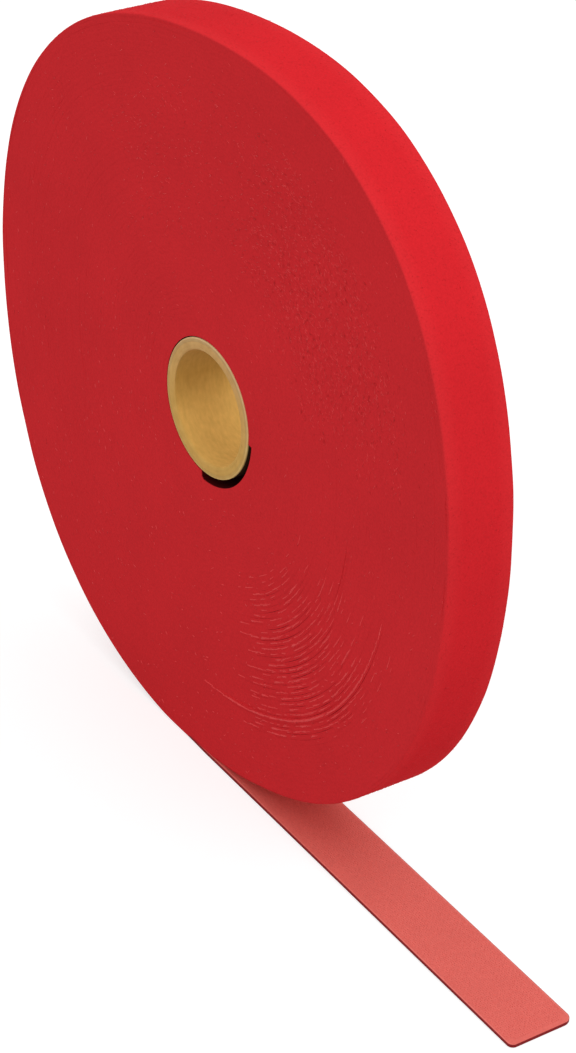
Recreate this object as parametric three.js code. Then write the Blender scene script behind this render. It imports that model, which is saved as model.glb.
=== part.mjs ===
// A roll of hook and loop tape on a paperboard core, standing on its rim with the free end laid out flat.
// Millimetres, Z up. The roll's axis runs along Y, the free end runs out along +X,
// and the origin lies on the floor straight below the axis.
import * as THREE from "three";

// The tape: a loop layer and a hook layer, glued back to back
const tapeWidth = 20;
const loopThickness = 0.5; // woven ground of the loop layer, the outside of the roll
const glueLine = 0.1; // film between the two layers
const hookThickness = 0.4; // ground of the hook layer, the inside of the roll
const pileGap = 0.5; // room between two turns, where hooks press into pile

// The winding
const wholeTurns = 58; // before the part turn that brings the tape down to the floor
const shownTurns = 12; // outer turns that wind over the plain pack of inner turns
const turnSteps = 40; // straight steps in a turn
const rimSteps = 80; // in the last turn, whose outside is the rim
const buttGap = 0.3; // between the pack and the layers that go on from it

// The tape's inner end, where the second turn climbs over the first and leaves a gap beside the core
const startAngle = degrees(-2); // from +X towards +Z
const climbArc = degrees(92); // length of the gap
const climbRamp = degrees(1); // part of it on which the tape rises
const climbExtra = 0.8; // how far the stiff tape first rises above its own start
const coreFit = 0.3; // between the core and the first turn
const stripThickness = 0.16;
const stripArc = degrees(45);

// The core, three plies of paperboard
const coreBore = 32; // diameter
const plyThickness = 1.1;
const plyGlue = 0.1;
const coreSteps = 72;

// The free end
const peelReach = 45; // from the axis to the line where the free end bends up off the floor
const tailLength = 104; // from that line to the cut
const tailCorner = 2.5; // corner radius at the cut
const cornerSteps = 6;

// The roll is not quite round: waves on its rim, that fade towards the core
const waves = [
  { count: 1, height: 1.2, peak: degrees(-92) },
  { count: 2, height: 0.4, peak: degrees(18) },
  { count: 3, height: 1.35, peak: degrees(42) },
  { count: 4, height: 2, peak: degrees(-38) },
];

// Its weight presses the outer turns flat where it stands
const flatDepth = 0.5;
const flatTurns = 8; // turns that share the flattening

// Where the lowest point of the rim is looked for
const searchFrom = degrees(240);
const searchTo = degrees(300);
const searchStep = degrees(0.1);

const web = loopThickness + glueLine + hookThickness;
const windPitch = web + pileGap;
const pressedPitch = windPitch - flatDepth / flatTurns;
const wall = 3 * plyThickness + 2 * plyGlue;
const coreRadius = coreBore / 2 + wall;
const firstRadius = coreRadius + coreFit;
const lowest = lowestAngle();
const lastWind = 2 * Math.PI * wholeTurns + lowest - startAngle;
const axisHeight = -rimPoint(lastWind).y - flatDepth;
const flatHalf = Math.acos(1 - flatDepth / axisHeight);

function degrees(value) {
  return (value * Math.PI) / 180;
}

// Outer radius of the tape after winding through an angle, before the floor presses on it.
function windRadius(wind) {
  const radius = firstRadius + web + (windPitch * wind) / (2 * Math.PI);
  const fade = wind / (2 * Math.PI * (wholeTurns + 1));
  let swell = 0;
  for (const wave of waves) {
    swell += wave.height * Math.cos(wave.count * (startAngle + wind - wave.peak));
  }
  return radius + fade * swell;
}

// The same as a point round the axis.
function rimPoint(wind) {
  const angle = startAngle + wind;
  const radius = windRadius(wind);
  return new THREE.Vector2(radius * Math.cos(angle), radius * Math.sin(angle));
}

// Angle of the last turn's lowest point.
function lowestAngle() {
  let best = searchFrom;
  let depth = 0;
  for (let angle = searchFrom; angle < searchTo; angle += searchStep) {
    const height = rimPoint(2 * Math.PI * wholeTurns + angle - startAngle).y;
    if (height < depth) {
      depth = height;
      best = angle;
    }
  }
  return best;
}

// A point of the standing roll: how far the tape has wound, and how deep inside its outer surface.
function tapePoint(wind, depth) {
  const angle = startAngle + wind;
  const turnsInside = (lastWind - wind) / (2 * Math.PI);
  const slope = Math.sin(angle);
  let radius = windRadius(wind);
  if (slope < 0) {
    const pressed = (axisHeight - Math.round(turnsInside) * pressedPitch) / -slope;
    radius = Math.min(radius, pressed);
  }
  radius -= depth;
  return new THREE.Vector2(radius * Math.cos(angle), axisHeight + radius * slope);
}

// Winding angles from one whole turn to another, with one more at each edge of the flat.
function windSteps(fromTurn, toTurn) {
  const winds = [];
  for (let turn = fromTurn; turn < toTurn; turn++) {
    const base = lastWind - 2 * Math.PI * (shownTurns - turn);
    const steps = turn === shownTurns - 1 ? rimSteps : turnSteps;
    for (let step = 0; step < steps; step++) {
      winds.push(base + (2 * Math.PI * step) / steps);
    }
    winds.push(base + flatHalf);
    winds.push(base + 2 * Math.PI - flatHalf);
  }
  winds.push(lastWind - 2 * Math.PI * (shownTurns - toTurn));
  return winds.sort((a, b) => a - b);
}

// An outline in the plane across the axis, as a solid as wide as the tape.
function acrossTape(outline, hole) {
  const shape = new THREE.Shape(outline);
  if (hole) {
    shape.holes.push(new THREE.Path(hole));
  }
  const solid = new THREE.ExtrudeGeometry(shape, { depth: tapeWidth, bevelEnabled: false });
  solid.rotateX(Math.PI / 2);
  solid.translate(0, tapeWidth / 2, 0);
  return solid;
}

// One layer of the outer turns, between two depths of the tape.
function woundLayer(top, bottom) {
  const winds = windSteps(0, shownTurns);
  winds[0] += buttGap / windRadius(winds[0]);
  const outside = winds.map((wind) => tapePoint(wind, top));
  const inside = winds.map((wind) => tapePoint(wind, bottom));
  outside.push(new THREE.Vector2(peelReach, top));
  inside.push(new THREE.Vector2(peelReach, bottom));
  printGap(winds, top, bottom);
  return acrossTape([...outside, ...inside.reverse()]);
}

// The least gap between one turn of a layer and the next, on points.
function printGap(winds, top, bottom) {
  let least = Infinity;
  for (const wind of winds) {
    const next = wind + 2 * Math.PI;
    if (next <= lastWind) {
      least = Math.min(least, tapePoint(next, bottom).distanceTo(tapePoint(wind, top)));
    }
  }
  console.log("least gap between turns of a layer: " + least.toFixed(2) + " mm");
}

// The inner turns as one pack, with the gap beside the tape's inner end.
function innerPack() {
  const outline = windSteps(-1, 0).map((wind) => tapePoint(wind, 0));
  const risen = 2 * Math.PI - climbArc + climbRamp;
  const turns = [...evenTurns(0, risen - climbRamp), ...evenTurns(risen - climbRamp, risen)];
  turns.push(...evenTurns(risen, 2 * Math.PI), 2 * Math.PI);
  const hole = turns.map((turned) => coreDirection(firstRadius + climbHeight(turned), turned));
  return acrossTape(outline, hole);
}

// Angles from one up to another, about as far apart as the core's steps.
function evenTurns(from, to) {
  const count = Math.ceil(((to - from) * coreSteps) / (2 * Math.PI));
  return Array.from({ length: count }, (_, step) => from + ((to - from) * step) / count);
}

// Height of the gap under the second turn, at an angle past the tape's inner end.
function climbHeight(turned) {
  const begun = turned - 2 * Math.PI + climbArc;
  const rise = THREE.MathUtils.smoothstep(begun, 0, climbRamp);
  return rise * (windPitch + climbExtra * (1 - begun / climbArc));
}

// A point at an angle past the tape's inner end.
function coreDirection(radius, turned) {
  const angle = startAngle + turned;
  return new THREE.Vector2(radius * Math.cos(angle), axisHeight + radius * Math.sin(angle));
}

// The strip of adhesive that holds the first turn.
function startStrip() {
  const inside = coreRadius + (coreFit - stripThickness) / 2;
  const steps = Math.round((coreSteps * stripArc) / (2 * Math.PI));
  const outline = [];
  for (let step = 0; step <= steps; step++) {
    outline.push(coreDirection(inside, (2 * Math.PI * step) / coreSteps));
  }
  for (let step = steps; step >= 0; step--) {
    outline.push(coreDirection(inside + stripThickness, (2 * Math.PI * step) / coreSteps));
  }
  return acrossTape(outline);
}

// One ply of the core, counted from the bore.
function corePly(number) {
  const inside = coreBore / 2 + number * (plyThickness + plyGlue);
  const outside = inside + plyThickness;
  const half = tapeWidth / 2;
  const profile = [
    new THREE.Vector2(inside, -half),
    new THREE.Vector2(outside, -half),
    new THREE.Vector2(outside, half),
    new THREE.Vector2(inside, half),
    new THREE.Vector2(inside, -half),
  ];
  const ply = new THREE.LatheGeometry(profile, coreSteps);
  ply.translate(0, 0, axisHeight);
  return ply;
}

// One layer of the free end, between two heights above the floor.
function tailLayer(bottom, top) {
  const from = peelReach + buttGap;
  const to = peelReach + tailLength;
  const half = tapeWidth / 2;
  const outline = new THREE.Shape();
  outline.moveTo(from, -half);
  outline.lineTo(to - tailCorner, -half);
  outline.absarc(to - tailCorner, -half + tailCorner, tailCorner, -Math.PI / 2, 0);
  outline.absarc(to - tailCorner, half - tailCorner, tailCorner, 0, Math.PI / 2);
  outline.lineTo(from, half);
  const solid = new THREE.ExtrudeGeometry(outline, {
    depth: top - bottom,
    bevelEnabled: false,
    curveSegments: cornerSteps,
  });
  solid.translate(0, 0, bottom);
  return solid;
}

function piece(name, geometry, colour, roughness) {
  const material = new THREE.MeshStandardMaterial({ color: colour, roughness, metalness: 0 });
  const mesh = new THREE.Mesh(geometry, material);
  mesh.name = name;
  roll.add(mesh);
}

const roll = new THREE.Group();
roll.name = "hook_and_loop_tape_roll";

piece("core_inner_ply", corePly(0), 0xb08a52, 0.85);
piece("core_middle_ply", corePly(1), 0xbf9a62, 0.85);
piece("core_outer_ply", corePly(2), 0xc9a56e, 0.85);
piece("start_strip", startStrip(), 0xe6dcc0, 0.5);
piece("inner_turns", innerPack(), 0xb02428, 0.95);
piece("wound_loop_layer", woundLayer(0, loopThickness), 0xc92a30, 0.95);
piece("wound_hook_layer", woundLayer(loopThickness + glueLine, web), 0xd6645c, 0.6);
piece("tail_loop_layer", tailLayer(0, loopThickness), 0xc92a30, 0.95);
piece("tail_hook_layer", tailLayer(loopThickness + glueLine, web), 0xd6645c, 0.6);

export default roll;
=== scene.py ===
"""The looks of a roll of hook and loop tape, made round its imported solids."""
import math
from dataclasses import dataclass

import bpy
import numpy as np
from mathutils import Matrix, Vector


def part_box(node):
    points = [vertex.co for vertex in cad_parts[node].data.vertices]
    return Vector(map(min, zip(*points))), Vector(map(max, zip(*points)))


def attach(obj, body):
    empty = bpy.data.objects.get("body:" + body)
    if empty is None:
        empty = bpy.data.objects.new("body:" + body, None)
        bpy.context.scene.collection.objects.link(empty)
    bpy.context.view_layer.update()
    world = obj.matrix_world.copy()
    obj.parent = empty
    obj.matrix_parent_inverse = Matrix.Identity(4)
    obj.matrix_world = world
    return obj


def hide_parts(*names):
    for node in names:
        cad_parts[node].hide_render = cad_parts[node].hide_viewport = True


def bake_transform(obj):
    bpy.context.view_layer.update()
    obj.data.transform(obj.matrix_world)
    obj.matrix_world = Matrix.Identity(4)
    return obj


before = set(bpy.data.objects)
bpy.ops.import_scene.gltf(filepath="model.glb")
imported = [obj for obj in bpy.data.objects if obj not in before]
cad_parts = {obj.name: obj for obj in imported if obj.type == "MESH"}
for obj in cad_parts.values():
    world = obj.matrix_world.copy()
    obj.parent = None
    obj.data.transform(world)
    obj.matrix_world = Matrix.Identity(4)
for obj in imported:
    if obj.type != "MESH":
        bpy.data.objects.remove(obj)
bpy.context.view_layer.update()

# Lengths are in millimetres until a mesh is made, angles in radians from +X towards +Z.
# Names in capitals are given, and the others are worked out.
MM = 0.001
TURN = 2 * math.pi

# Sizes that the solids were made with
PLIES = ["core_inner_ply", "core_middle_ply", "core_outer_ply"]
PLY_THICKNESS = 1.1
CORE_FIT = 0.3  # between the core and the first turn
WIND_PITCH = 1.5
WHOLE_TURNS = 58  # before the part turn that brings the tape down to the floor
SHOWN_TURNS = 12  # outer turns, which wind in the solids too
START_ANGLE = math.radians(-2)  # of the tape's inner end
CLIMB_ARC = math.radians(92)  # of the gap where the second turn climbs over the tape's inner end
CLIMB_RAMP = math.radians(1)  # part of it on which the tape rises
CLIMB_EXTRA = 0.8  # how far the tape first rises above its own start
STRIP_THICKNESS = 0.16
STRIP_ARC = math.radians(45)
TAIL_CORNER = 2.5  # radius of the cut's corners
FLAT_DEPTH = 0.5  # by which the floor presses the roll flat
FLAT_TURNS = 8  # turns that share it
# Waves on the rim: their count round the roll, their height and the angle of a peak
WAVES = [(1, 1.2, math.radians(-92)), (2, 0.4, math.radians(18)), (3, 1.35, math.radians(42)),
         (4, 2.0, math.radians(-38))]
SEARCH_ARC = (240, 300, 0.1)  # degrees in which the rim's lowest point lies, and their step

# The winding as it looks
FLAT_BLEND = 0.4  # depth over which the flat runs out into the round
LEAST_SLOPE = 0.001  # of a stretch of tape on which the floor can press
RING_STEP = 2.4  # along the tape
FIRST_STEP = math.radians(1)  # in the first turns
FIRST_WIND = 2 * TURN  # where they end
SETTLE_TURNS = 9  # until the climb over the tape's inner end has evened out
SETTLE_RAMP = math.radians(6)  # by which each further turn rises more gently
EDGE_INSET = 0.12  # of the wound edges inside the tape's width
EDGE_ZONE = 1.6  # along a layer's edge, where its colour changes
GLUE_FILL = 0.048  # by which each layer reaches into the film of glue between them

# The edges of the turns on the roll's sides. A band is where a value rises from 0, is full, begins to fall
# and is gone.
LEAST_RECESS = 0.005
SUNK_RECESS = 0.1  # of single threads
SUNK_FROM = 0.55  # of the random line, past which a thread is sunk
DRIFT = 0.02  # of all turns along the axis
PILE_LIMIT = 1.0  # height of the tallest loops between two turns
# Where the edges stand apart, low on the right: a band of degrees, and one of shares of the rim's radius
RIDGE_ANGLES = (-74, -52, -38, -16)
RIDGE_SHARES = (0.42, 0.56, 0.84, 0.92)
RIDGE_LEVEL = 0.6  # to which the random line is added
RIDGE_GAP = 0.1
RIDGE_RECESS = 0.04
RIDGE_SHIFT = 0.1
RIDGE_UNEVEN = 0.4
RAGGED = 7  # degrees by which a patch begins and ends earlier or later in each turn
RAGGED_SEED = 6
# The turn that stands proud of the face, and the one that lies back: its number, its angle and a band
# about that angle, in degrees
PROUD = (42, -45, (-45, -25, 2, 40))
PROUD_SHIFT = 0.3
PROUD_UNEVEN = 0.3
PROUD_THREADS = 5  # times as many as where the edges stand apart
BACK = (30, -15, (-9, -5, 5, 10))
BACK_RECESS = 0.14
# In degrees from the end of the winding: where the outer turns lie unevenly, and where no turn covers them
LOOSE = (-720, -420, -60, -20)
LOOSE_SHIFT = 0.13
UNCOVERED = (-355, -335)
# Where specks of loose thread lie: high on the right, a few more towards the left and the least elsewhere
SPECK_ANGLES = (12, 34, 62, 84)
FEW_ANGLES = (60, 82, 116, 136)
SPECK_SHARES = (0.4, 0.56, 0.8, 0.92)
FEW_SPECKS = 0.12
LEAST_SPECKS = 0.03
SPECK_TURNS = 1.5  # outer turns without specks

# Random lines along the tape: the spacing of their knots, and their seed
SUNK_LINE = (2.6, 1)
RECESS_LINE = (5, 2)
DRIFT_LINE = (45, 3)
SHIFT_LINE = (7, 4)
PROUD_LINE = (3, 5)
APART_LINE = (4, 7)
LOOSE_LINE = (12, 8)

# The free end
LAID_STEP = 3.0  # along it
RUN_OUT = 9.0  # length over which the wound edges become its own
FIRM_EDGE = 0.65  # share by which its edges are less rounded than the rim's
CORNER_STEPS = 12
NEAR_CORNER = 1.6  # radius of the cut's corner at the front
LAID_SWAY = 1.4  # of the cut towards the front

# The hooks on the free end
HOOK_SHAPE = np.array([(0, -0.03), (0, 0.14), (0.05, 0.22), (0.13, 0.23), (0.18, 0.17)])  # along and up
HOOK_RADIUS = 0.05
HOOK_TAPER = 0.7
HOOK_SPACING = 0.66
HOOK_JITTER = 0.12
HOOK_TALL = (0.85, 1.1)  # times its shape's height
HOOK_SEED = 11
BARE_START = 10  # length without hooks next to the roll
BARE_CUT = 1  # and at the cut
BARE_SIDE = 0.7  # width without hooks along each edge

# The core
CORE_STEPS = 160
WORN = [(0.7, 0.04), (0.04, 0.04), (0.04, 0.35)]  # radii of each ply's inner and outer edges
WORN_STEPS = 6
PLY_FILL = 0.99  # share of the room between two plies that the outer one takes up
RIPPLES = (5, 9, 14, 23, 31, 47)  # waves round the cut ends
RIPPLE_HEIGHT = 0.05
RIPPLE_ZONE = 0.03  # along the axis
RIPPLE_SEED = 20
BORE_RINGS = 45  # which the seam needs
SEAM_ANGLE = math.radians(200)  # at the middle of the width
SEAM_LEAD = 30  # along the axis for each radian
SEAM_DEPTH = 0.06
SEAM_WIDTH = 0.35
STRIP_INSET = 0.6
STRIP_STEPS = 24

# Loops, threads and specks that stand off the cloth
LOOP_RADIUS = 0.025
FIBRE_RADIUS = 0.045
THREAD_RADIUS = 0.15
THREAD_SIDES = 5
THREAD_POINTS = 7
THREAD_WAVER = 0.06
SPECK_RADIUS = 0.12
ARCH_POINTS = 5
ARCH_ROOT = 0.04  # by which its feet lie in the cloth
RIM_ARC = (math.radians(18), TURN - math.radians(30))  # back from the end of the winding, with loops
RIM_BAND = (10, 60, 310, 340)  # the same in degrees, as a band of their height
RIM_MARGIN = 0.25
RIM_WIDTHS = (0.25, 0.5)
RIM_HEIGHTS = (0.08, 0.2)
RIM_SEED = 31
FACE_ROOT = 0.06  # by which the feet of a side's loops lie inside the turns' edges
FACE_DEPTHS = (-0.2, 0.5)  # inside the tape's outer face
FACE_SPIN = 0.6  # by which they turn away from the tape's run
FLOOR_CLEAR = 0.45
SIDES = [("front", -1, 32), ("back", 1, 42)]  # name, way along the axis and first seed


def node_box(node):
    """Lowest and highest corner of a CAD node."""
    low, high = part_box(node)
    return np.array(low) / MM, np.array(high) / MM


# Sizes that the frame gives
ply_outsides = [node_box(node)[1][0] for node in PLIES]
axis_height = sum(corner[2] for corner in node_box(PLIES[0])) / 2
core_radius = ply_outsides[-1]
tape_half = node_box("wound_loop_layer")[1][1]
loop_depth = node_box("tail_loop_layer")[1][2]
hook_depth = node_box("tail_hook_layer")[0][2]
web = node_box("tail_hook_layer")[1][2]
cut_x = node_box("tail_loop_layer")[1][0]

first_radius = core_radius + CORE_FIT
pressed_pitch = WIND_PITCH - FLAT_DEPTH / FLAT_TURNS


def smoothstep(value, start, end):
    """0 up to start, 1 from end, smooth between."""
    share = np.clip((value - start) / (end - start), 0, 1)
    return share * share * (3 - 2 * share)


def band(value, rise, full, fall, gone):
    """0 outside rise and gone, 1 from full to fall, smooth between."""
    return smoothstep(value, rise, full) * (1 - smoothstep(value, fall, gone))


def wander(length, spacing, seed):
    """A smooth random line along a length, from -1 to 1."""
    knots = np.random.default_rng(seed).uniform(-1, 1, int(length.max() / spacing) + 3)
    place = length / spacing
    knot = place.astype(int)
    return knots[knot] + (knots[knot + 1] - knots[knot]) * smoothstep(place - knot, 0, 1)


def uneven(length, share, line):
    """A factor of up to 1, of which a share follows a random line."""
    return 1 - share + share * wander(length, *line)


# The winding

def climb_height(turned, ramp):
    """Height of the gap under the second turn, at an angle past the tape's inner end."""
    begun = turned - TURN + CLIMB_ARC
    return smoothstep(begun, 0, ramp) * (WIND_PITCH + CLIMB_EXTRA * (1 - begun / CLIMB_ARC))


def round_radius(wind):
    """Radius of the tape's outer face after winding through an angle, before the floor presses on it."""
    turn = np.floor(wind / TURN)
    turned = wind - turn * TURN
    even = WIND_PITCH * turned / TURN
    settled = np.minimum(1, turn / SETTLE_TURNS)
    rise = climb_height(turned, CLIMB_RAMP + SETTLE_RAMP * turn) * (1 - settled) + even * settled
    swell = sum(height * np.cos(count * (START_ANGLE + wind - peak)) for count, height, peak in WAVES)
    return first_radius + web + WIND_PITCH * turn + rise + swell * wind / (TURN * (WHOLE_TURNS + 1))


def lowest_angle():
    """Angle of the last turn's lowest point."""
    angles = np.radians(np.arange(*SEARCH_ARC))
    heights = round_radius(TURN * WHOLE_TURNS + angles - START_ANGLE) * np.sin(angles)
    return angles[heights.argmin()]


last_wind = TURN * WHOLE_TURNS + lowest_angle() - START_ANGLE
split_wind = last_wind - TURN * SHOWN_TURNS
rim_radius = float(round_radius(np.array([last_wind - TURN / 2]))[0])


def tape_radius(wind):
    """Radius of the tape's outer face in the standing roll."""
    radius = round_radius(wind)
    slope = np.sin(START_ANGLE + wind)
    turns_inside = np.round((last_wind - wind) / TURN)
    pressed = (axis_height - turns_inside * pressed_pitch) / np.maximum(-slope, LEAST_SLOPE)
    overlap = np.maximum(0, FLAT_BLEND - np.abs(radius - pressed))
    return np.minimum(radius, pressed) - overlap**2 / (4 * FLAT_BLEND)


def tape_length(wind):
    """Length of tape wound through an angle, on an even spiral."""
    return (first_radius + web) * wind + WIND_PITCH * wind**2 / (2 * TURN)


def wind_steps(start, end):
    """Winding angles from start to end, evenly spaced along the tape after its first turns."""
    fine = np.arange(start, min(end, FIRST_WIND), FIRST_STEP)
    start = max(start, FIRST_WIND)
    fine = fine[fine < start - 0.5 * FIRST_STEP]
    steps = int((tape_length(end) - tape_length(start)) / RING_STEP) + 1
    lengths = np.linspace(tape_length(start), tape_length(end), steps + 1)
    first = first_radius + web
    growth = WIND_PITCH / TURN
    return np.concatenate([fine, (np.sqrt(first**2 + 2 * growth * lengths) - first) / growth])


@dataclass
class Stations:
    """Places along the tape, each an array with a row for every place."""

    place: np.ndarray  # on the outer face, as X and Z
    inward: np.ndarray  # the way in from there
    half: np.ndarray  # half the width
    pile: np.ndarray  # height of the loops pressed between this turn and the next
    bare: np.ndarray  # how free the edges are of a turn that presses on them, 0 to 1
    apart: np.ndarray  # how much the edges stand apart, 0 to 1
    recess: np.ndarray  # of the edges
    shift: np.ndarray  # along the axis


def patch(wind, angles, shares):
    """1 in part of the face, falling to 0 round it, with ragged ends."""
    angle = np.degrees(START_ANGLE + wind + math.pi) % 360 - 180
    ragged = np.random.default_rng(RAGGED_SEED).uniform(-RAGGED, RAGGED, WHOLE_TURNS + 2)
    angle = angle + ragged[(wind / TURN).astype(int)]
    return band(angle, *angles) * band(tape_radius(wind) / rim_radius, *shares)


def one_turn(wind, turn, angle, reach):
    """1 on part of one turn, about an angle."""
    middle = TURN * turn + math.radians(angle % 360) - START_ANGLE
    return band(np.degrees(wind - middle), *reach)


def wound_stations(wind):
    """Stations of the tape round the roll, at winding angles."""
    length = tape_length(wind)
    angle = START_ANGLE + wind
    radius = tape_radius(wind)
    outward = np.stack([np.cos(angle), np.sin(angle)], axis=1)
    from_end = np.degrees(wind - last_wind)
    frayed = np.clip(RIDGE_LEVEL + wander(length, *APART_LINE), 0, 1)
    apart = patch(wind, RIDGE_ANGLES, RIDGE_SHARES) * frayed
    proud = one_turn(wind, *PROUD)
    back = one_turn(wind, *BACK)
    bare = smoothstep(from_end, *UNCOVERED)
    room = tape_radius(wind + TURN) - web - radius - RIDGE_GAP * apart
    sunk = np.maximum(0, wander(length, *SUNK_LINE) - SUNK_FROM)
    recess = LEAST_RECESS + SUNK_RECESS * sunk
    recess = recess + RIDGE_RECESS * apart * uneven(length, RIDGE_UNEVEN, RECESS_LINE)
    shift = DRIFT * wander(length, *DRIFT_LINE) + RIDGE_SHIFT * apart * wander(length, *SHIFT_LINE)
    shift = shift - PROUD_SHIFT * proud * uneven(length, PROUD_UNEVEN, PROUD_LINE)
    shift = shift + LOOSE_SHIFT * band(from_end, *LOOSE) * wander(length, *LOOSE_LINE)
    return Stations(
        place=outward * radius[:, None] + [0, axis_height],
        inward=-outward,
        half=np.full(len(wind), tape_half - EDGE_INSET),
        pile=np.clip(room, 0, PILE_LIMIT) * (1 - bare),
        bare=bare,
        apart=np.clip(apart + proud + back, 0, 1),
        recess=recess + BACK_RECESS * back,
        shift=shift,
    )


def laid_stations():
    """Stations of the free end, from the roll's lowest point to the cut."""
    lowest = START_ANGLE + last_wind
    start_x = float(tape_radius(np.array([last_wind]))[0]) * math.cos(lowest)
    corner_x = cut_x - TAIL_CORNER
    run = np.linspace(start_x, corner_x, 2 + int((corner_x - start_x) / LAID_STEP))
    bend = np.linspace(0, TURN / 4, CORNER_STEPS + 1)[1:]
    x = np.concatenate([run, corner_x + TAIL_CORNER * np.sin(bend)])
    free = smoothstep(x, start_x, start_x + RUN_OUT)
    inset = EDGE_INSET * (1 - free)
    far = tape_half - inset - corner_inset(cut_x - x, TAIL_CORNER)
    near = tape_half - inset - corner_inset(cut_x - x, NEAR_CORNER)
    inward = np.tile([0.0, 1.0], (len(x), 1))
    inward[0] = [-math.cos(lowest), -math.sin(lowest)]
    none = np.zeros(len(x))
    return Stations(
        place=np.stack([x, none], axis=1),
        inward=inward,
        half=(far + near) / 2,
        pile=none,
        bare=1 - FIRM_EDGE * free,
        apart=none,
        recess=none,
        shift=(far - near) / 2 - sway(x),
    )


def sway(x):
    """How far the free end has swung towards the front."""
    return LAID_SWAY * np.maximum(0, x) / cut_x


def corner_inset(left, radius):
    """How far a rounded corner lies inside the tape's edge, by the length left to the cut."""
    left = np.clip(left, 0, radius)
    return radius - np.sqrt(radius**2 - (radius - left) ** 2)


# Meshes

def mesh_object(name, points, faces, sharp=60):
    """A smooth mesh from points in millimetres, with sharp edges from an angle in degrees."""
    mesh = bpy.data.meshes.new(name)
    mesh.from_pydata((np.asarray(points).reshape(-1, 3) * MM).tolist(), [], faces)
    mesh.shade_smooth()
    mesh.set_sharp_from_angle(angle=math.radians(sharp))
    piece = bpy.data.objects.new(name, mesh)
    bpy.context.scene.collection.objects.link(piece)
    return piece


def ring_faces(rings, sides, closed=False, caps=True):
    """Quads between rings of points, with a cap at each end."""
    faces = []
    for ring in range(rings if closed else rings - 1):
        here = ring * sides
        there = (ring + 1) % rings * sides
        for side in range(sides):
            after = (side + 1) % sides
            faces.append((here + side, here + after, there + after, there + side))
    if caps and not closed:
        faces.append(tuple(range(sides - 1, -1, -1)))
        faces.append(tuple((rings - 1) * sides + side for side in range(sides)))
    return faces


def swept(name, stations, profile, cut=False):
    """A layer of tape: the profile's points of one edge, mirrored, swept along the stations.
    A layer that ends in a cut keeps how far each point lies in from its edge."""
    depths = [depth + 0 * stations.half for depth, _ in profile]
    insets = [inset + 0 * stations.half for _, inset in profile]
    depths = np.stack(depths + depths[::-1], axis=1)
    insets = np.stack(insets + insets[::-1], axis=1)
    side = np.repeat([1, -1], len(profile))
    across = side * (stations.half[:, None] - insets)
    x = stations.place[:, :1] + stations.inward[:, :1] * depths
    z = stations.place[:, 1:] + stations.inward[:, 1:] * depths
    y = across + stations.shift[:, None]
    rings = np.stack([x, y, z], axis=2)
    piece = mesh_object(name, rings, ring_faces(*depths.shape))
    if cut:
        insets[-1] = 0
        kept = piece.data.attributes.new("inset", "FLOAT", "POINT")
        kept.data.foreach_set("value", insets.ravel())
    return piece


def loop_profile(stations, full):
    """Points of the loop layer's edge as depth and inset, from its outer face to its inner.
    A full profile also has the inner border of the zone in which its colour changes."""
    apart, bare, pile, recess = stations.apart, stations.bare, stations.pile, stations.recess
    inner_face = loop_depth + GLUE_FILL
    edge = [
        (-pile, 0.012 + 0.035 * apart + 0.7 * bare + recess),
        (0.06 - pile, 0.005 + 0.015 * apart + 0.3 * bare + recess),
        (0.1 + 0.06 * bare, 0.005 + 0.1 * bare + 0.5 * recess),
        (0.3, 0.02 * bare),
        (loop_depth - 0.05, 0.003),
        (inner_face, 0.01 + 0.02 * apart),
    ]
    return [(-pile, EDGE_ZONE), *edge, (inner_face, EDGE_ZONE)] if full else edge


def hook_profile(stations, full):
    """The same for the hook layer."""
    apart = stations.apart
    recess = 0.6 * stations.recess
    outer_face = hook_depth - GLUE_FILL
    edge = [
        (outer_face, 0.01 + 0.02 * apart + recess),
        (hook_depth + 0.03, 0.003 + recess),
        (web - 0.08, 0.003 + recess),
        (web - 0.01, 0.008 + 0.02 * apart + recess),
        (web, 0.012 + 0.04 * apart + recess),
    ]
    return [(outer_face, EDGE_ZONE), *edge, (web, EDGE_ZONE)] if full else edge


def strands(name, paths, radius, taper=0.5, sides=3):
    """Many thin strands as one mesh. Each row of paths holds the points of a strand."""
    count, steps, _ = paths.shape
    along = np.gradient(paths, axis=1)
    along /= np.linalg.norm(along, axis=2, keepdims=True)
    steep = np.abs(along[..., 1:2]) >= 0.8  # runs nearly along Y, so X has to help
    helper = np.where(steep, [1.0, 0.0, 0.0], [0.0, 1.0, 0.0])
    across = np.cross(along, helper)
    across /= np.linalg.norm(across, axis=2, keepdims=True)
    over = np.cross(along, across)
    turns = TURN * np.arange(sides) / sides
    thick = radius * np.linspace(1, taper, steps)[None, :, None, None]
    rings = paths[:, :, None, :] + thick * (
        np.cos(turns)[:, None] * across[:, :, None, :] + np.sin(turns)[:, None] * over[:, :, None, :])
    starts = steps * sides * np.arange(count)[:, None, None]
    pattern = np.array(ring_faces(steps, sides, caps=False))
    quads = (pattern[None] + starts).reshape(-1, 4)
    ends = np.stack([np.arange(sides)[::-1], (steps - 1) * sides + np.arange(sides)])
    caps = (ends[None] + starts).reshape(-1, sides)
    return mesh_object(name, rings, quads.tolist() + caps.tolist(), sharp=180)


def lathe(name, profile, moved):
    """A closed profile of radius and place along Y, turned about the roll's axis and then moved."""
    turns = TURN * np.arange(CORE_STEPS)[:, None] / CORE_STEPS
    radius, along = np.array(profile, float).T
    radius, along = moved(turns, np.tile(radius, (CORE_STEPS, 1)), np.tile(along, (CORE_STEPS, 1)))
    rings = np.stack([radius * np.cos(turns), along, axis_height + radius * np.sin(turns)], axis=2)
    return mesh_object(name, rings, ring_faces(CORE_STEPS, len(profile), closed=True))


# Materials

WHITE = (1, 1, 1)
BLACK = (0, 0, 0)
ACROSS = (0, 1, 0)  # distance from the middle of the tape's width
OUTWARD = (1, 0, 1)  # distance from the roll's axis


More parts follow.
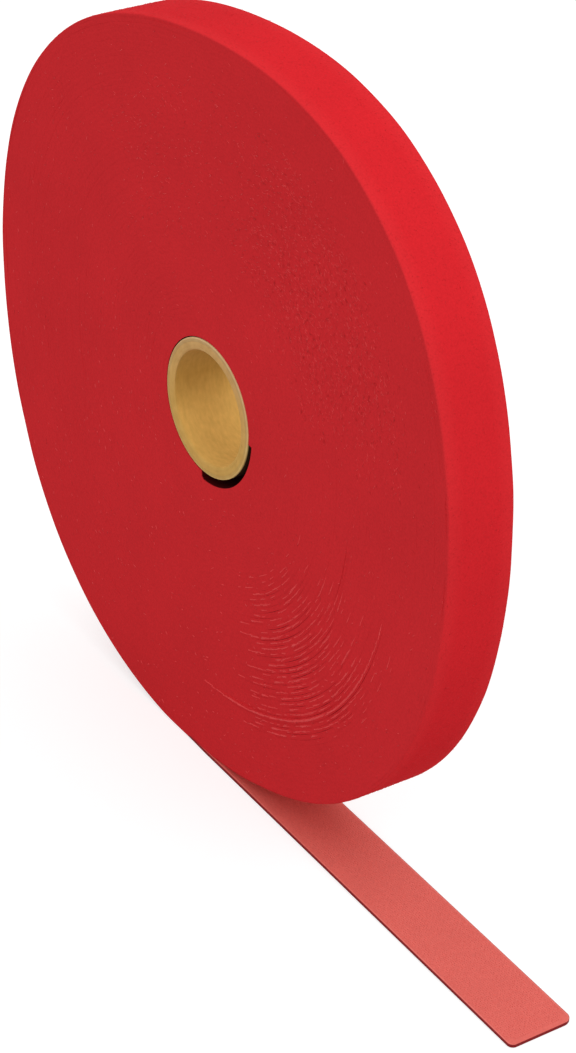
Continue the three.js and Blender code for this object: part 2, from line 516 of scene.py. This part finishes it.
class Paint:
    """A material and the nodes that colour it, in the piece's own coordinates."""

    def __init__(self, name, roughness, specular=0.5):
        self.material = bpy.data.materials.new(name)
        self.material.use_nodes = True
        self.nodes = self.material.node_tree.nodes
        self.links = self.material.node_tree.links
        self.shader = self.nodes["Principled BSDF"]
        self.shader.inputs["Roughness"].default_value = roughness
        self.shader.inputs["Specular IOR Level"].default_value = specular

    def place(self, scale=None, moved=(0, 0, 0)):
        """Coordinates, which a scale can stretch before they are moved."""
        place = self.nodes.new("ShaderNodeTexCoord").outputs["Object"]
        if scale is None:
            return place
        mapping = self.nodes.new("ShaderNodeMapping")
        mapping.inputs["Location"].default_value = moved
        mapping.inputs["Scale"].default_value = scale
        self.links.new(place, mapping.inputs["Vector"])
        return mapping.outputs["Vector"]

    def noise(self, scale, detail, stretch=None):
        """A noise of a feature size of 1 / scale metres."""
        texture = self.nodes.new("ShaderNodeTexNoise")
        texture.inputs["Scale"].default_value = scale
        texture.inputs["Detail"].default_value = detail
        self.links.new(self.place(stretch), texture.inputs["Vector"])
        return texture.outputs["Fac"]

    def spread(self, value, start, end):
        """0 to 1 as a value goes from start to end."""
        node = self.nodes.new("ShaderNodeMapRange")
        node.inputs["From Min"].default_value = start
        node.inputs["From Max"].default_value = end
        self.links.new(value, node.inputs["Value"])
        return node.outputs["Result"]

    def ramp(self, value, *stops):
        """Colours by a value from 0 to 1."""
        node = self.nodes.new("ShaderNodeValToRGB")
        elements = node.color_ramp.elements
        while len(elements) < len(stops):
            elements.new(0.5)
        for element, (place, colour) in zip(elements, stops):
            element.position = place
            element.color = (*colour, 1)
        self.links.new(value, node.inputs["Fac"])
        return node.outputs["Color"]

    def mixed(self, blend, first, second):
        """Two colours, blended in full."""
        node = self.nodes.new("ShaderNodeMix")
        node.data_type = "RGBA"
        node.blend_type = blend
        node.inputs["Factor"].default_value = 1
        self.links.new(first, node.inputs["A"])
        self.links.new(second, node.inputs["B"])
        return node.outputs["Result"]

    def product(self, colour, *shades):
        """A colour times some shades."""
        for shade in shades:
            colour = self.mixed("MULTIPLY", colour, shade)
        return colour

    def distance(self, axes, start, end):
        """0 to 1 between two distances from the roll's middle, measured along some axes."""
        length = self.nodes.new("ShaderNodeVectorMath")
        length.operation = "LENGTH"
        self.links.new(self.place(axes, (0, 0, -axis_height * MM * axes[2])), length.inputs[0])
        return self.spread(length.outputs["Value"], start * MM, end * MM)

    def height(self, start, end):
        """0 to 1 between two heights above the roll's axis."""
        parts = self.nodes.new("ShaderNodeSeparateXYZ")
        self.links.new(self.place(), parts.inputs["Vector"])
        return self.spread(parts.outputs["Z"], (axis_height + start) * MM, (axis_height + end) * MM)

    def by_width(self, *stops):
        """Colours by the distance from the middle of the tape's width."""
        value = self.distance(ACROSS, 0, tape_half)
        return self.ramp(value, *((place / tape_half, colour) for place, colour in stops))

    def by_edge(self, *stops):
        """Colours by the distance in from the free end's own edges."""
        kept = self.nodes.new("ShaderNodeAttribute")
        kept.attribute_name = "inset"
        value = self.spread(kept.outputs["Fac"], 0, EDGE_ZONE)
        return self.ramp(value, *((place / EDGE_ZONE, colour) for place, colour in stops))

    def bump(self, value, strength, depth):
        """Bumps by a value, of a depth in metres."""
        node = self.nodes.new("ShaderNodeBump")
        node.inputs["Strength"].default_value = strength
        node.inputs["Distance"].default_value = depth
        self.links.new(value, node.inputs["Height"])
        self.links.new(node.outputs["Normal"], self.shader.inputs["Normal"])

    def coat(self, colour):
        """The material, in a colour."""
        self.links.new(colour, self.shader.inputs["Base Color"])
        return self.material


def loop_fabric(name, colour, grain, shaded, *stops):
    """Brushed loop pile: a fine grain over slow changes of tone, shaded by width or by edge."""
    paint = Paint(name, roughness=0.95, specular=0.05)
    fine = paint.noise(1800, 3)
    base = paint.ramp(fine, (0.3, colour * (1 - grain)), (0.7, colour * (1 + grain)))
    tone = paint.ramp(paint.noise(40, 3), (0.3, (0.94, 0.94, 0.94)), (0.7, WHITE))
    paint.bump(fine, 0.25, 0.0002)
    return paint.coat(paint.product(base, tone, shaded(paint, *stops)))


def hook_side(name, *stops):
    """Hook tape: colours by stops in from its edge, with a faint weave."""
    paint = Paint(name, roughness=0.7, specular=0.15)
    fine = paint.noise(1500, 2)
    weave = paint.ramp(fine, (0.35, (0.93, 0.9, 0.9)), (0.65, WHITE))
    tone = paint.ramp(paint.noise(60, 2), (0.3, (0.95, 0.94, 0.94)), (0.7, WHITE))
    paint.bump(fine, 0.15, 0.0001)
    return paint.coat(paint.product(paint.by_edge(*stops), weave, tone))


def strand_plastic(name, dark, light, spread=0.2):
    """Nylon monofilament, dark and light by a noise within a spread of its middle."""
    paint = Paint(name, roughness=0.6, specular=0.15)
    return paint.coat(paint.ramp(paint.noise(700, 2), (0.5 - spread, dark), (0.5 + spread, light)))


def kraft_board(name, dark, light, body=WHITE):
    """Kraft board with fibres that run round the core. It is browner at its cut ends, darker high in the
    bore with a painted shade, yellower low down, and nearly black on the core's outside with a painted
    shade that darkens the gap at the core. The body shade lies inside the core's outer edge and leaves that
    edge pale, a painted highlight."""
    paint = Paint(name, roughness=0.8, specular=0.15)
    fibres = paint.noise(700, 4, stretch=(0.6, 1.4, 0.6))
    base = paint.ramp(fibres, (0.2, dark), (0.8, light))
    tone = paint.ramp(paint.noise(120, 3), (0.3, (0.93, 0.92, 0.91)), (0.7, WHITE))
    cut_end = tape_half - 0.7  # where it begins
    ends = paint.by_width((cut_end, WHITE), (tape_half - 0.1, (0.84, 0.83, 0.84)))
    # Darker high up in the bore, a painted shade.
    bore_top_shade = paint.ramp(paint.height(-8, 1), (0, WHITE), (1, (0.72, 0.68, 0.5)))
    yellow = paint.ramp(paint.height(-6, 14), (0, (1, 1, 0.72)), (1, WHITE))
    # The body shade darkens all but the core's outermost edge, which stays pale as a painted highlight.
    edge = paint.ramp(paint.distance(OUTWARD, core_radius - 0.5, core_radius - 0.25), (0, body), (1, WHITE))
    # Nearly black on the core's outside but not on its cut ends, a painted shade that darkens the gap
    # between core and tape.
    gap_shade = paint.ramp(paint.distance(OUTWARD, core_radius - 0.06, core_radius - 0.02),
                      (0, WHITE), (1, (0.05, 0.03, 0.03)))
    face = paint.by_width((cut_end, BLACK), (tape_half - 0.3, WHITE))
    bore_top_shade = paint.mixed("LIGHTEN", bore_top_shade, face)
    gap_shade = paint.mixed("LIGHTEN", gap_shade, face)
    paint.bump(fibres, 0.2, 0.0001)
    return paint.coat(paint.product(base, tone, ends, bore_top_shade, yellow, edge, gap_shade))


def adhesive_film(name):
    """A yellowish adhesive film."""
    paint = Paint(name, roughness=0.45)
    return paint.coat(paint.ramp(paint.noise(300, 2), (0.3, (0.62, 0.55, 0.38)), (0.7, (0.76, 0.70, 0.53))))


RED = np.array((0.75, 0.0205, 0.028))
EDGE = np.array((0.72, 0.0275, 0.034))
# A lighter red for a band along the rim's edges, a painted highlight.
RIM_EDGE_HIGHLIGHT = np.array((0.775, 0.0262, 0.0333))
# Dark maroon for the free end's own edges, a painted shade.
EDGE_SHADE_MAROON = np.array((0.3, 0.018, 0.02))
SELVEDGE = np.array((0.88, 0.2, 0.165))
PALE = np.array((0.85, 0.168, 0.138))
lightest = np.maximum.reduce([RED, EDGE, RIM_EDGE_HIGHLIGHT])

# The rim has a painted highlight, a lighter band along each edge. Deep inside the roll the edges are
# painted dark, a painted shade for the gap at the core, and the free end's own edges have a painted shade
# of dark maroon.
loop_red = loop_fabric("loop_red", lightest, 0.06, Paint.by_width,
                       (tape_half - 5, RED / lightest), (tape_half - 1.4, RIM_EDGE_HIGHLIGHT / lightest),
                       (tape_half - 0.6, RIM_EDGE_HIGHLIGHT / lightest), (tape_half - 0.25, EDGE / lightest))
# Deep inside the roll the turns' edges are painted dark, a painted shade that blacks out the gap at the
# core.
edge_red_shaded_inside = loop_fabric("edge_red_shaded_inside", EDGE, 0.07, Paint.by_width,
                       (tape_half - 1.6, (0.15, 0.15, 0.15)), (tape_half - 0.5, WHITE))
# The hook layer is painted dark except near the roll's faces, a painted shade.
inside_red_shaded = loop_fabric("inside_red_shaded", EDGE, 0.07, Paint.by_width,
                         (tape_half - 0.5, (0.1, 0.1, 0.1)), (tape_half - 0.25, WHITE))
# The free end's edges on both layers are dark maroon, a painted shade.
laid_red = loop_fabric("laid_red", RED, 0.06, Paint.by_edge, (0.15, EDGE_SHADE_MAROON / RED), (0.3, WHITE))
hook_red = hook_side("hook_red", (0.06, EDGE_SHADE_MAROON), (0.16, SELVEDGE), (0.4, SELVEDGE), (0.7, PALE))
hook_pale = strand_plastic("hook_pale", PALE, PALE * 1.05)
fuzz_red = strand_plastic("fuzz_red", EDGE, (0.78, 0.06, 0.065))
fibre_pale = strand_plastic("fibre_pale", (0.8, 0.08, 0.085), (0.84, 0.17, 0.17))
thread_pink = strand_plastic("thread_pink", (0.8, 0.046, 0.052), (0.87, 0.084, 0.086))
# Dark and light by a noise; the dark specks are a painted shade for the little shadows between loops.
speck_red = strand_plastic("speck_red", (0.6, 0.021, 0.026), (0.9, 0.088, 0.093), 0.06)
board = kraft_board("board", (0.75, 0.44, 0.15), (0.92, 0.55, 0.205))
# The liner's pale outer edge is a painted highlight.
board_liner = kraft_board("board_liner", (0.9, 0.56, 0.25), (0.98, 0.7, 0.36), (0.8, 0.74, 0.62))
film = adhesive_film("film")


def dress(piece, material, slot, *nodes, body="roll"):
    """Gives a piece its material, hides the nodes it stands for and hangs it on the body it rides on. The
    slot is not used.
    """
    piece.data.materials.append(material)
    if nodes:
        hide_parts(*nodes)
    if body:
        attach(piece, body)
    return piece


# The wound tape

inner = wound_stations(wind_steps(0, split_wind))
outer = wound_stations(wind_steps(split_wind, last_wind))
dress(swept("inner_turns_loop", inner, loop_profile(inner, full=False)),
      edge_red_shaded_inside, "tape_edges", "inner_turns")
dress(swept("inner_turns_hook", inner, hook_profile(inner, full=False)),
      inside_red_shaded, "tape_edges", "inner_turns")
dress(swept("outer_turns_loop", outer, loop_profile(outer, full=True)),
      loop_red, "loop_fabric", "wound_loop_layer")
dress(swept("outer_turns_hook", outer, hook_profile(outer, full=True)),
      inside_red_shaded, "hook_side", "wound_hook_layer")


# The free end, which lies on the floor

def laid(piece):
    """Bakes the transform of a piece of the free end into its mesh."""
    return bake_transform(piece)


flat_end = laid_stations()
free_loop = dress(swept("free_end_loop", flat_end, loop_profile(flat_end, full=True), cut=True),
                  laid_red, "loop_fabric", "tail_loop_layer", body=None)
free_hook = dress(swept("free_end_hook", flat_end, hook_profile(flat_end, full=True), cut=True),
                  hook_red, "hook_side", "tail_hook_layer", body=None)


def hooks():
    """Rows of small hooks on the free end, which lean one way and the other."""
    rows = np.arange(flat_end.place[0, 0] + BARE_START, cut_x - BARE_CUT, HOOK_SPACING)
    lines = np.arange(-tape_half + BARE_SIDE, tape_half - BARE_SIDE, HOOK_SPACING)
    x, y = np.meshgrid(rows, lines, indexing="ij")
    way = np.where(np.add.outer(np.arange(len(rows)), np.arange(len(lines))) % 2, 1.0, -1.0)
    random = np.random.default_rng(HOOK_SEED)
    x, y, way = x.ravel(), y.ravel(), way.ravel()
    x = x + random.uniform(-HOOK_JITTER, HOOK_JITTER, len(x))
    y = y + random.uniform(-HOOK_JITTER, HOOK_JITTER, len(y))
    corner = (x > cut_x - TAIL_CORNER) & (np.abs(y) > tape_half - TAIL_CORNER)
    x, y, way = x[~corner], y[~corner], way[~corner]
    tall = random.uniform(*HOOK_TALL, len(x))
    paths = np.stack([
        x[:, None] + way[:, None] * HOOK_SHAPE[:, 0],
        np.repeat((y - sway(x))[:, None], len(HOOK_SHAPE), axis=1),
        web + tall[:, None] * HOOK_SHAPE[:, 1],
    ], axis=2)
    return strands("free_end_hooks", paths, HOOK_RADIUS, HOOK_TAPER)


hook_rows = dress(hooks(), hook_pale, "hook_side", body=None)
for piece in (free_loop, free_hook, hook_rows):
    laid(piece)


# The core

def core_ply(number):
    """One ply of the core, with worn edges and, in the bore, the seam of its spiral strip."""
    in_bore = number == 0
    outside = ply_outsides[number]
    thickness = PLY_THICKNESS if in_bore else PLY_FILL * (outside - ply_outsides[number - 1])
    inside = outside - thickness
    worn_in, worn_out = WORN[number]
    curve = np.linspace(0, TURN / 4, WORN_STEPS)
    drop, climb = 1 - np.cos(curve), 1 - np.sin(curve)
    inner_edge = [(inside + worn_in * a, tape_half - worn_in * b) for a, b in zip(drop, climb)]
    outer_edge = [(outside - worn_out * a, tape_half - worn_out * b) for a, b in zip(drop, climb)]
    end = inner_edge + outer_edge[::-1]
    wall = np.linspace(tape_half - worn_in, -tape_half + worn_in, BORE_RINGS if in_bore else 3)
    profile = [(inside, y) for y in wall[1:-1]] + [(radius, -y) for radius, y in end] + end[::-1]
    phases = np.random.default_rng(RIPPLE_SEED + number).uniform(0, TURN, len(RIPPLES))

    def moved(turns, radius, along):
        rough = sum(np.cos(count * turns + phase) for count, phase in zip(RIPPLES, phases)) / len(RIPPLES)
        along = along + np.sign(along) * RIPPLE_HEIGHT * rough * (np.abs(along) > tape_half - RIPPLE_ZONE)
        if in_bore:
            seam = SEAM_ANGLE + along / SEAM_LEAD
            away = (turns - seam + math.pi) % TURN - math.pi
            groove = SEAM_DEPTH * np.exp(-(away * inside / SEAM_WIDTH) ** 2)
            radius = radius + groove * np.isclose(radius, inside)
        return radius, along

    return lathe("core_ply_%d" % (number + 1), profile, moved)


for number, node in enumerate(PLIES):
    dress(core_ply(number), board_liner if node == PLIES[-1] else board, "core_board", node)


def start_strip():
    """The adhesive strip between the core and the first turn."""
    inside = core_radius + (CORE_FIT - STRIP_THICKNESS) / 2
    outside = inside + STRIP_THICKNESS
    half = tape_half - STRIP_INSET
    turns = START_ANGLE + np.linspace(0, STRIP_ARC, STRIP_STEPS + 1)
    profile = [(inside, half), (inside, -half), (outside, -half), (outside, half)]
    rings = [[(radius * math.cos(turn), y, axis_height + radius * math.sin(turn))
              for radius, y in profile] for turn in turns]
    return mesh_object("start_strip_film", rings, ring_faces(len(turns), len(profile)))


dress(start_strip(), film, "adhesive_strip", "start_strip")


# Loops, threads and specks that stand off the cloth

face_winds = wind_steps(FIRST_WIND, last_wind)


def arches(base, up, way, width, height):
    """Arched paths that stand on a face."""
    swing = np.linspace(0, math.pi, ARCH_POINTS)[None, :, None]
    run = -0.5 * np.cos(swing) * (width[:, None] * way)[:, None, :]
    rise = np.sin(swing) * (height[:, None] * up)[:, None, :]
    return base[:, None, :] + run + rise - ARCH_ROOT * up[:, None, :]


def rim_loops(count):
    """Small loops on the roll's outer face."""
    random = np.random.default_rng(RIM_SEED)
    wind = last_wind - random.uniform(*RIM_ARC, count)
    y = random.uniform(-1, 1, count) * (tape_half - EDGE_INSET - RIM_MARGIN)
    angle = START_ANGLE + wind
    outward = np.stack([np.cos(angle), 0 * angle, np.sin(angle)], axis=1)
    round_way = np.stack([-np.sin(angle), 0 * angle, np.cos(angle)], axis=1)
    base = outward * tape_radius(wind)[:, None]
    base[:, 1] = y
    base[:, 2] += axis_height
    spin = random.uniform(0, TURN, count)
    way = np.cos(spin)[:, None] * round_way + np.sin(spin)[:, None] * [0.0, 1.0, 0.0]
    tall = random.uniform(*RIM_HEIGHTS, count) * band(np.degrees(last_wind - wind), *RIM_BAND)
    return arches(base, outward, way, random.uniform(*RIM_WIDTHS, count), tall)


def face_loops(side, seed, count, widths, heights):
    """Small loops along the turns' edges on one side of the roll, but not on its last turn."""
    random = np.random.default_rng(seed)
    stations = wound_stations(face_winds)
    pick = random.choice(np.flatnonzero(face_winds < last_wind - TURN), count)
    outward = -stations.inward[pick]
    depth = random.uniform(*FACE_DEPTHS, count)
    base = np.zeros((count, 3))
    base[:, 0] = stations.place[pick, 0] - outward[:, 0] * depth
    base[:, 1] = side * (stations.half[pick] - FACE_ROOT) + stations.shift[pick]
    base[:, 2] = np.maximum(FLOOR_CLEAR, stations.place[pick, 1] - outward[:, 1] * depth)
    up = np.tile([0.0, float(side), 0.0], (count, 1))
    spin = random.normal(0, FACE_SPIN, count)
    round_way = np.stack([-outward[:, 1], 0 * depth, outward[:, 0]], axis=1)
    out_way = np.stack([outward[:, 0], 0 * depth, outward[:, 1]], axis=1)
    way = np.cos(spin)[:, None] * round_way + np.sin(spin)[:, None] * out_way
    return arches(base, up, way, random.uniform(*widths, count), random.uniform(*heights, count))


def edge_threads(side, seed, count, share, reaches, depths, lean):
    """Short lengths of the weave's edge thread, by their share at each step of the winding.
    They lie at depths inside the tape's outer face and lean by up to a length at each end."""
    random = np.random.default_rng(seed)
    middle = face_winds[random.choice(len(face_winds), count, p=share / share.sum())]
    middle = middle + random.uniform(-0.5, 0.5, count) * RING_STEP / tape_radius(middle)
    reach = random.uniform(*reaches, count) / tape_radius(middle)
    along = np.linspace(-1, 1, THREAD_POINTS)
    wind = middle[:, None] + reach[:, None] * along
    stations = wound_stations(wind.ravel())
    depth = random.uniform(*depths, (count, 1))
    depth = depth + random.uniform(-THREAD_WAVER, THREAD_WAVER, (count, THREAD_POINTS))
    depth += random.uniform(-lean, lean, (count, 1)) * along
    x, z = (stations.place + stations.inward * depth.reshape(-1, 1)).T
    y = side * stations.half + stations.shift
    return np.stack([x, y, z], axis=1).reshape(count, THREAD_POINTS, 3)


dress(strands("rim_loops", rim_loops(count=7500), LOOP_RADIUS, taper=1), fuzz_red, "loop_fabric")
ridge_share = patch(face_winds, RIDGE_ANGLES, RIDGE_SHARES) + PROUD_THREADS * one_turn(face_winds, *PROUD)
speck_share = patch(face_winds, SPECK_ANGLES, SPECK_SHARES)
speck_share = speck_share + FEW_SPECKS * patch(face_winds, FEW_ANGLES, SPECK_SHARES)
speck_share = (speck_share + LEAST_SPECKS) * (face_winds < last_wind - SPECK_TURNS * TURN)
for name, side, seed in SIDES:
    loops = face_loops(side, seed, count=6000, widths=(0.3, 0.8), heights=(0.03, 0.12))
    fibres = face_loops(side, seed + 1, count=200, widths=(0.4, 1.1), heights=(0.1, 0.2))
    threads = edge_threads(side, seed + 2, count=700, share=ridge_share,
                           reaches=(0.4, 2.2), depths=(0.1, 0.5), lean=0.1)
    specks = edge_threads(side, seed + 3, count=3600, share=speck_share,
                          reaches=(0.2, 0.6), depths=(-0.5, 1.0), lean=0.35)
    dress(strands(name + "_edge_loops", loops, LOOP_RADIUS, taper=1), fuzz_red, "tape_edges")
    dress(strands(name + "_fibres", fibres, FIBRE_RADIUS, taper=1), fibre_pale, "tape_edges")
    dress(strands(name + "_threads", threads, THREAD_RADIUS, sides=THREAD_SIDES), thread_pink, "tape_edges")
    dress(strands(name + "_specks", specks, SPECK_RADIUS), speck_red, "tape_edges")


# Stage, light and camera, in metres

def seen_ray(nodes, links):
    """1 for rays that the camera, a mirror or a glass sends."""
    path = nodes.new("ShaderNodeLightPath")
    seen = path.outputs["Is Camera Ray"]
    for kind in ("Is Glossy Ray", "Is Transmission Ray"):
        either = nodes.new("ShaderNodeMath")
        either.operation = "MAXIMUM"
        links.new(seen, either.inputs[0])
        links.new(path.outputs[kind], either.inputs[1])
        seen = either.outputs[0]
    return seen


def make_floor():
    """A pale floor that is white where nothing shades it."""
    half = 3.0
    under = -0.0001
    grey = 0.55
    lift = 0.64  # of what is seen of it, up to white
    mesh = bpy.data.meshes.new("floor")
    corners = [(-half, -half, under), (half, -half, under), (half, half, under), (-half, half, under)]
    mesh.from_pydata(corners, [], [(0, 1, 2, 3)])
    floor = bpy.data.objects.new("floor", mesh)
    bpy.context.scene.collection.objects.link(floor)
    material = bpy.data.materials.new("floor")
    material.use_nodes = True
    nodes, links = material.node_tree.nodes, material.node_tree.links
    nodes.clear()
    paint = nodes.new("ShaderNodeBsdfDiffuse")
    paint.inputs["Color"].default_value = (grey, grey, grey, 1)
    glow = nodes.new("ShaderNodeEmission")
    strength = nodes.new("ShaderNodeMath")
    strength.operation = "MULTIPLY"
    strength.inputs[1].default_value = lift
    links.new(seen_ray(nodes, links), strength.inputs[0])
    links.new(strength.outputs[0], glow.inputs["Strength"])
    both = nodes.new("ShaderNodeAddShader")
    links.new(paint.outputs[0], both.inputs[0])
    links.new(glow.outputs[0], both.inputs[1])
    out = nodes.new("ShaderNodeOutputMaterial")
    links.new(both.outputs[0], out.inputs["Surface"])
    mesh.materials.append(material)


def make_world():
    """A light tent: even white light, a little brighter from above and from the right."""
    level = 0.632
    slope = (0.152, -0.136, 0.304)
    world = bpy.data.worlds.new("tent")
    bpy.context.scene.world = world
    world.use_nodes = True
    nodes, links = world.node_tree.nodes, world.node_tree.links
    nodes.clear()
    way = nodes.new("ShaderNodeTexCoord").outputs["Generated"]
    lean = nodes.new("ShaderNodeVectorMath")
    lean.operation = "DOT_PRODUCT"
    lean.inputs[1].default_value = slope
    links.new(way, lean.inputs[0])
    strength = nodes.new("ShaderNodeMath")
    strength.operation = "ADD"
    strength.inputs[1].default_value = level
    links.new(lean.outputs["Value"], strength.inputs[0])
    light = nodes.new("ShaderNodeBackground")
    light.inputs["Color"].default_value = (*WHITE, 1)
    links.new(strength.outputs[0], light.inputs["Strength"])
    white = nodes.new("ShaderNodeBackground")
    white.inputs["Color"].default_value = (*WHITE, 1)
    pick = nodes.new("ShaderNodeMixShader")
    links.new(seen_ray(nodes, links), pick.inputs["Fac"])
    links.new(light.outputs[0], pick.inputs[1])
    links.new(white.outputs[0], pick.inputs[2])
    out = nodes.new("ShaderNodeOutputWorld")
    links.new(pick.outputs[0], out.inputs["Surface"])


def make_lamp(name, place, target, size, power):
    """A round lamp that faces a target."""
    data = bpy.data.lights.new(name, "AREA")
    data.shape = "DISK"
    data.size = size
    data.energy = power
    lamp = bpy.data.objects.new(name, data)
    lamp.location = place
    lamp.rotation_euler = (Vector(target) - Vector(place)).to_track_quat("-Z", "Y").to_euler()
    bpy.context.scene.collection.objects.link(lamp)


def make_camera():
    """The photograph's view."""
    place = Vector((0.5897, -0.4111, 0.5249))
    target = Vector((0.03959, -0.01, 0.09381))
    roll = math.radians(3.455)
    lens = 106.92  # millimetres
    data = bpy.data.cameras.new("camera")
    data.lens = lens
    camera = bpy.data.objects.new("camera", data)
    turn = (target - place).to_track_quat("-Z", "Y").to_matrix().to_4x4()
    camera.matrix_world = Matrix.Translation(place) @ turn @ Matrix.Rotation(roll, 4, "Z")
    bpy.context.scene.collection.objects.link(camera)
    bpy.context.scene.camera = camera


make_floor()
make_world()
make_lamp("key", place=(0.7, 0.2, 1.3), target=(0, 0, 0.1), size=0.9, power=3.0)
make_camera()
bpy.context.scene.view_settings.view_transform = "Standard"
